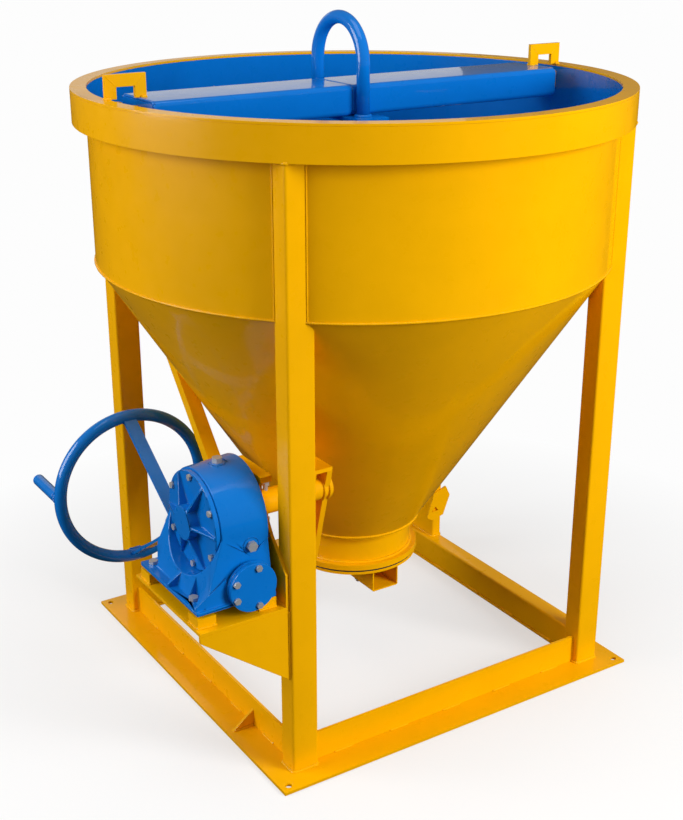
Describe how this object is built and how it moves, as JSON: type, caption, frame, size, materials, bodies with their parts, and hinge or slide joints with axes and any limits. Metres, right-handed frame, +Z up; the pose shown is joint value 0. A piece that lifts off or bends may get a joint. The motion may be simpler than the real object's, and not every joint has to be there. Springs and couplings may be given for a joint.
{
  "type": "concrete bucket",
  "caption": "Crane-lifted round concrete hopper on a square legged frame, with a bottom swing gate driven by a handwheel and worm gearbox.",
  "frame": {"origin": "centre of the sole frame on the floor, under the hopper axis", "axes": "+Z up; -Y and -X are the two sides that meet at the front leg; the gearbox stands on the -X side"},
  "size_m": [1.465, 1.368, 1.711],
  "materials": {
    "yellow_paint": "gloss enamel",
    "blue_paint": "gloss enamel",
    "blue_casting": "gloss enamel on cast iron",
    "zinc_steel": "dull zinc plate",
    "bearing_steel": "ground",
    "bronze": "machined",
    "seal_rubber": "matt"
  },
  "bodies": {
    "frame": {"sole_frame": "yellow_paint", "leg_front": "yellow_paint", "leg_right": "yellow_paint", "leg_left": "yellow_paint", "leg_back": "yellow_paint", "rail_front_right": "yellow_paint", "rail_front_left": "yellow_paint", "rail_back_right": "yellow_paint", "rail_back_left": "yellow_paint", "toe_gusset": "yellow_paint", "rear_post": "yellow_paint", "post_bracket": "yellow_paint", "hopper_cylinder": "yellow_paint", "hopper_cone": "yellow_paint", "throat_ring": "yellow_paint", "outlet_throat": "yellow_paint", "outlet_flange": "yellow_paint", "rim_top_ring": "yellow_paint", "rim_band": "yellow_paint", "rim_bottom_ring": "yellow_paint", "rim_lugs": "yellow_paint", "beam_left": "blue_paint", "beam_right": "blue_paint", "beam_plates": "blue_paint", "lifting_bail": "blue_paint", "bail_base_plate": "blue_paint", "gearbox_shelf": "yellow_paint", "shelf_gusset": "yellow_paint", "shelf_strut": "yellow_paint", "spacer_blocks": "yellow_paint", "bearing_plate": "yellow_paint", "shaft_hanger": "yellow_paint", "shaft_bushes": "bronze", "gearbox_housing": "blue_casting", "gearbox_side_cover": "blue_casting", "worm_covers": "blue_casting", "cover_bolts": "zinc_steel", "foot_bolts": "zinc_steel", "gearbox_plugs": "zinc_steel", "gearbox_bearings": "bearing_steel", "shaft_seals": "seal_rubber"},
    "gate": {"output_shaft": "bearing_steel", "worm_wheel": "bronze", "shaft_fasteners": "zinc_steel", "torque_tube": "yellow_paint", "gate_arm_left": "yellow_paint", "gate_arm_right": "yellow_paint", "gate_arm_top": "yellow_paint", "gate_cross_bar": "yellow_paint", "gate_tube": "yellow_paint", "gate_plate": "yellow_paint", "gate_seal": "seal_rubber", "gate_bolts": "zinc_steel"},
    "handwheel": {"worm_shaft": "bearing_steel", "handwheel_hub": "blue_paint", "hub_fasteners": "zinc_steel", "handwheel_spokes": "blue_paint", "handwheel_ring": "blue_paint", "crank_pin": "blue_paint"},
    "grip": {"crank_grip": "blue_paint"}
  },
  "joints": [
    {"name": "handwheel_turn", "type": "hinge", "parent": "frame", "child": "handwheel", "pos_m": [-0.568, 0, 0.525], "axis": [0, 1, 0], "range_deg": [0, 1920]},
    {"name": "gate_swing", "type": "hinge", "parent": "frame", "child": "gate", "pos_m": [0, -0.308, 0.645], "axis": [-1, 0, 0], "range_deg": [0, 48]},
    {"name": "grip_spin", "type": "hinge", "parent": "handwheel", "child": "grip", "pos_m": [-0.76481, 0.27, 0.53359], "axis": [0, 1, 0], "continuous": true}
  ],
  "couplings": [
    {"joint": "gate_swing", "follows": "handwheel_turn", "ratio": 0.025}
  ]
}
